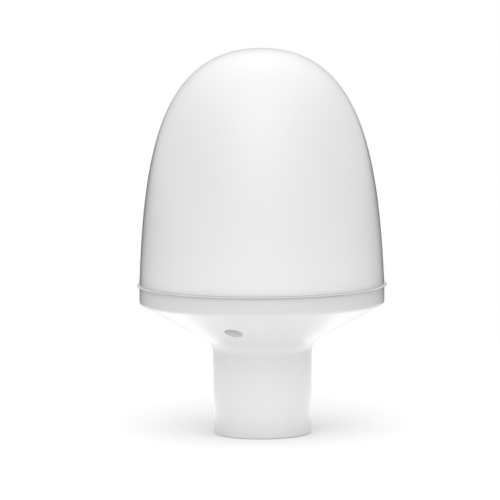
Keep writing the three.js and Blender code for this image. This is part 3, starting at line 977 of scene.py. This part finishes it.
def white_plastic(name, color, roughness, coat):
    """Glossy moulded plastic, very faintly uneven in tone, gloss and surface."""
    surface = Surface(name, color, roughness)
    surface.set("Specular IOR Level", 0.5)
    surface.set("Coat Weight", coat)
    surface.set("Coat Roughness", 0.12)
    surface.mottle(34, 0.008)
    surface.vary_roughness(9, roughness - 0.02, roughness + 0.02)
    surface.bump(surface.noise(5.5, 1), 0.006)
    surface.bump(surface.noise(0.35, 2), 0.0015)
    return surface.material


def shade_darkened_rubber():
    # Painted shade: this grey is darker than the rubber's own white, so that the lit top of the drip lip
    # reads no brighter than the dome beside it.
    surface = Surface("gasket_rubber", (0.56, 0.56, 0.56), 0.5)
    surface.mottle(6, 0.03)
    surface.bump(surface.noise(0.25, 3), 0.006)
    return surface.material


def black_rubber():
    surface = Surface("black_rubber", (0.022, 0.022, 0.024), 0.62)
    surface.set("Sheen Weight", 0.15)
    surface.mottle(3, 0.25)
    surface.vary_roughness(1.5, 0.5, 0.75)
    surface.bump(surface.noise(0.18, 4), 0.01)
    return surface.material


def metal(name, color, roughness, worn, grain=TURNED, grain_mm=0.12):
    """Bare or plated metal: fine tool marks, a little tarnish in patches, and brighter worn edges."""
    surface = Surface(name, color, roughness, 1.0)
    surface.mottle(5, 0.08)
    surface.vary_roughness(grain_mm, roughness * 0.85, roughness * 1.2, grain)
    surface.bump(surface.noise(grain_mm, 3, grain), 0.0015)
    surface.edge_wear(worn, 0.12, 0.5)
    return surface.material


def white_fluoropolymer():
    surface = Surface("white_ptfe", (0.80, 0.79, 0.75), 0.42)
    surface.set("Subsurface Weight", 0.2)
    surface.set("Subsurface Scale", 0.001)
    surface.mottle(7, 0.02)
    surface.bump(surface.noise(0.1, 2, TURNED), 0.003)
    return surface.material


def weave(surface, pitch_mm, depth_mm):
    """The cloth inside a glass-epoxy sheet, showing faintly through its surface."""
    waves = []
    for direction in ("X", "Y"):
        wave = surface.node("ShaderNodeTexWave", Vector=surface.place, Scale=0.5 / (pitch_mm * MM))
        wave.bands_direction = direction
        waves.append(wave.outputs["Fac"])
    cloth = surface.math("MULTIPLY", *waves)
    surface.bump(cloth, depth_mm)
    return cloth


def solder_mask():
    """Green lacquer over the board, lighter where copper lies under it."""
    green, copper_green = (0.012, 0.095, 0.040), (0.022, 0.17, 0.065)
    surface = Surface("solder_mask", green, 0.35)
    surface.set("Coat Weight", 0.4)
    where = surface.node("ShaderNodeTexVoronoi", Vector=surface.place, Scale=1 / (5.0 * MM))
    where.distance = "MANHATTAN"
    poured = surface.span(where.outputs["Distance"], 1, 0, 0.62, 0.66)
    surface.set("Base Color", surface.blend(poured, green, copper_green))
    surface.vary_roughness(2, 0.31, 0.40)
    surface.bump(poured, 0.02)
    weave(surface, 0.5, 0.003)
    return surface.material


def tan_laminate():
    """A rolled glass-epoxy tube: pale tan, with its cloth and some darker resin showing."""
    surface = Surface("tan_laminate", (0.50, 0.41, 0.22), 0.4)
    surface.set("Coat Weight", 0.2)
    cloth = weave(surface, 0.8, 0.01)
    shade_of = surface.blend(cloth, (0.44, 0.35, 0.17), (0.56, 0.47, 0.27))
    patches = surface.span(surface.noise(9, 3), 0.0, 0.35)
    surface.set("Base Color", surface.blend(patches, shade_of, (0.38, 0.29, 0.13)))
    surface.vary_roughness(3, 0.35, 0.5)
    return surface.material


def cable_jacket():
    surface = Surface("cable_jacket", (0.23, 0.11, 0.045), 0.34)
    surface.set("Coat Weight", 0.3)
    surface.mottle(4, 0.12)
    surface.vary_roughness(2, 0.31, 0.42)
    surface.bump(surface.noise(0.4, 2), 0.012)
    return surface.material


def chip_black():
    surface = Surface("chip_black", (0.018, 0.018, 0.02), 0.5)
    surface.mottle(1, 0.2)
    surface.bump(surface.noise(0.08, 3), 0.004)
    return surface.material


# ---- camera, floor and light

def aim(thing, at):
    thing.rotation_mode = "QUATERNION"
    thing.rotation_quaternion = (Vector(at) - thing.location).to_track_quat("-Z", "Y")


def make_camera():
    """A long lens a little above the seam's height, rolled by a fraction of a degree."""
    distance, elevation, roll = 1.44, math.radians(5.6), math.radians(-0.41)
    target = Vector((-0.00464, 0, 0.0736))
    data = bpy.data.cameras.new("camera")
    data.lens = 259.2
    data.sensor_width = 36
    camera = bpy.data.objects.new("camera", data)
    bpy.context.scene.collection.objects.link(camera)
    camera.location = target + Vector((0, -math.cos(elevation), math.sin(elevation))) * distance
    aim(camera, target)
    camera.rotation_quaternion = camera.rotation_quaternion @ Matrix.Rotation(roll, 3, "Z").to_quaternion()
    bpy.context.scene.camera = camera


def make_floor():
    """A round white table top just under the foot, clear when seen from below, with a hole inside the collar.

    It glows softly round the foot, seen only by the object, as a lit table does.
    """
    radius, hole_r, drop = 300, COLLAR_FOOT_R - 0.8, 0.05
    glow_strength, glow_inner_r, glow_outer_r = 0.9, (34, 60), (75, 120)
    rims = [(x, y, -drop) for r in (hole_r, radius) for x, y in circle(r, ROUND)]
    faces = [(k, ROUND + k, ROUND + (k + 1) % ROUND, (k + 1) % ROUND) for k in range(ROUND)]
    floor = make_object("studio_floor", rims, faces)
    surface = Surface("studio_floor_paint", (0.84, 0.84, 0.84), 0.9)
    surface.set("Specular IOR Level", 0.0)
    surface.set("Emission Color", (1, 1, 1, 1))
    distance = surface.node("ShaderNodeVectorMath")
    distance.operation = "LENGTH"
    surface.feed(distance.inputs[0], surface.place)
    away = distance.outputs["Value"]
    rising = surface.span(away, 0, glow_strength, glow_inner_r[0] * MM, glow_inner_r[1] * MM)
    falling = surface.span(away, 1, 0, glow_outer_r[0] * MM, glow_outer_r[1] * MM)
    seen = surface.node("ShaderNodeLightPath").outputs["Is Camera Ray"]
    hidden = surface.math("SUBTRACT", 1.0, seen)
    glow = surface.math("MULTIPLY", surface.math("MULTIPLY", rising, falling), hidden)
    surface.set("Emission Strength", glow)
    clear = surface.node("ShaderNodeBsdfTransparent").outputs["BSDF"]
    behind = surface.node("ShaderNodeNewGeometry").outputs["Backfacing"]
    paint = surface.tree.nodes["Principled BSDF"].outputs["BSDF"]
    one_sided = surface.either(behind, paint, clear)
    surface.feed(surface.tree.nodes["Material Output"].inputs["Surface"], one_sided)
    floor.data.materials.append(surface.material)


def make_world():
    """A white studio: soft light all round, a broad key light in front, plain white to the camera."""
    ground, horizon, zenith, rise = 0.03, 0.87, 1.34, 1.6
    key_strength, key_sharpness, key_elevation = 1.4, 6.5, math.radians(40)
    back_strength, back_sharpness = -0.55, 7.0  # below zero: the backdrop is darker than the rest
    below_strength, below_sharpness = 1.5, 4.0
    world = bpy.data.worlds.new("studio")
    bpy.context.scene.world = world
    world.use_nodes = True
    nodes = Nodes(world.node_tree)
    direction = nodes.node("ShaderNodeTexCoord").outputs["Generated"]

    def lobe(axis, sharpness, strength):
        """A soft light in one direction."""
        facing = nodes.math("MAXIMUM", nodes.dot(direction, axis), 0.0)
        return nodes.math("MULTIPLY", nodes.math("POWER", facing, sharpness), strength)

    total = nodes.span(nodes.dot(direction, (0, 0, 1)), ground, horizon, -0.05, 0.1, smooth=True)
    for light in (
        lobe((0, 0, 1), rise, zenith - horizon),
        lobe((0, -math.cos(key_elevation), math.sin(key_elevation)), key_sharpness, key_strength),
        lobe((0, 1, 0), back_sharpness, back_strength),
        lobe((0, 0, -1), below_sharpness, below_strength),
    ):
        total = nodes.math("ADD", total, light)
    white = (1, 1, 1, 1)
    room = nodes.node("ShaderNodeBackground", Color=white, Strength=total).outputs["Background"]
    backdrop = nodes.node("ShaderNodeBackground", Color=white).outputs["Background"]
    to_camera = nodes.node("ShaderNodeLightPath").outputs["Is Camera Ray"]
    output = nodes.tree.nodes["World Output"].inputs["Surface"]
    nodes.feed(output, nodes.either(to_camera, room, backdrop))


def make_studio():
    make_camera()
    make_floor()
    make_world()
    view = bpy.context.scene.view_settings
    view.view_transform = "Standard"
    view.look = "None"


# ---- the whole antenna

def make_looks():
    """A material for each of the record's material slots."""
    bright = (0.80, 0.80, 0.79)
    return {
        "base_plastic": white_plastic("base_white", (0.60, 0.60, 0.60), 0.38, 0.3),
        "radome_plastic": white_plastic("radome_white", (0.72, 0.72, 0.72), 0.36, 0.5),
        "gasket_rubber": shade_darkened_rubber(),
        "seal_rubber": black_rubber(),
        "stainless_steel": metal("stainless_steel", (0.56, 0.57, 0.58), 0.33, bright),
        "brass": metal("brass", (0.72, 0.52, 0.22), 0.36, (0.85, 0.68, 0.36)),
        "nickel_plate": metal("nickel_plate", (0.63, 0.60, 0.55), 0.34, bright),
        "gold_plate": metal("gold_plate", (0.95, 0.68, 0.28), 0.33, (1.0, 0.80, 0.45)),
        "white_ptfe": white_fluoropolymer(),
        "aluminium": metal("aluminium", (0.70, 0.71, 0.72), 0.42, bright, BRUSHED, 0.2),
        "circuit_laminate": solder_mask(),
        "tinplate": metal("tinplate", (0.58, 0.58, 0.56), 0.36, bright, (1, 1, 1), 0.5),
        "former_laminate": tan_laminate(),
        "copper": metal("copper", (0.80, 0.38, 0.22), 0.34, (0.92, 0.55, 0.38), (1, 1, 1), 0.8),
        "cable_jacket": cable_jacket(),
    }


def finish_piece(piece, slot, *nodes, body="base", look=None):
    """Gives a piece its material slot and look, its CAD body, and the CAD nodes that it stands for."""
    piece.data.materials.clear()
    piece.data.materials.append(look or LOOKS[slot])
    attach(piece, body)
    if nodes:
        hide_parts(*nodes)


def assemble_casing():
    finish_piece(make_radome(), "radome_plastic", "radome", body="radome")
    finish_piece(make_base_housing(), "base_plastic", "base_housing")
    finish_piece(make_seam_gasket(), "gasket_rubber", "seam_gasket")
    finish_piece(make_o_ring(), "seal_rubber", "radome_o_ring")


def assemble_fasteners():
    for index in (1, 2, 3):
        body = f"radome_screw_{index}"
        finish_piece(make_radome_screw(index), "stainless_steel", body, body=body)
        finish_piece(make_screw_seal(index), "seal_rubber", f"radome_screw_seal_{index}", body=body)
        finish_piece(make_radome_insert(index), "brass", f"radome_insert_{index}", body="radome")
        finish_piece(make_board_screw(index), "stainless_steel", f"board_screw_{index}")
        finish_piece(make_board_spacer(index), "brass", f"board_spacer_{index}")


def assemble_jack():
    finish_piece(make_mast_insert(), "nickel_plate", "mast_thread_insert")
    finish_piece(make_jack(), "nickel_plate", "connector_jack")
    finish_piece(make_dielectric(), "white_ptfe", "connector_dielectric")
    finish_piece(make_contact(), "gold_plate", "connector_contact")
    finish_piece(make_connector_seal(), "seal_rubber", "connector_seal")
    finish_piece(make_lock_washer(), "stainless_steel", "connector_lock_washer")
    finish_piece(make_nut(), "nickel_plate", "connector_nut")
    finish_piece(make_ferrule(), "nickel_plate", "coax_ferrule")
    finish_piece(make_coax(), "cable_jacket", "coax_jumper")


def assemble_decks():
    finish_piece(make_ground_plane(), "aluminium", "ground_plane")
    finish_piece(make_circuit_board(), "circuit_laminate", "circuit_board")
    finish_piece(make_board_pads(), "gold_plate")
    chips, ends = make_chips()
    finish_piece(chips, "circuit_laminate", look=chip_black())
    finish_piece(ends, "tinplate")
    amplifier_can = make_can("amplifier_can", across=13, along=20, height=3.4, angle=283)
    finish_piece(amplifier_can, "tinplate", "amplifier_shield_can")
    filter_can = make_can("filter_can", across=11, along=19, height=3.0, angle=101)
    finish_piece(filter_can, "tinplate", "filter_shield_can")
    finish_piece(make_board_jack(), "gold_plate", "board_jack")
    finish_piece(make_board_plug(), "brass", "board_plug")


def assemble_helix():
    finish_piece(make_helix_base(), "white_ptfe", "helix_base")
    finish_piece(make_former(), "former_laminate", "helix_former")
    for index in range(1, ARM_COUNT + 1):
        finish_piece(make_helix_arm(index), "copper", f"helix_arm_{index}")
    finish_piece(make_helix_cap(), "circuit_laminate", "helix_cap")
    tracks, solder = make_cap_cross()
    finish_piece(tracks, "copper")
    finish_piece(solder, "tinplate")


make_studio()
LOOKS = make_looks()
assemble_casing()
assemble_fasteners()
assemble_jack()
assemble_decks()
assemble_helix()
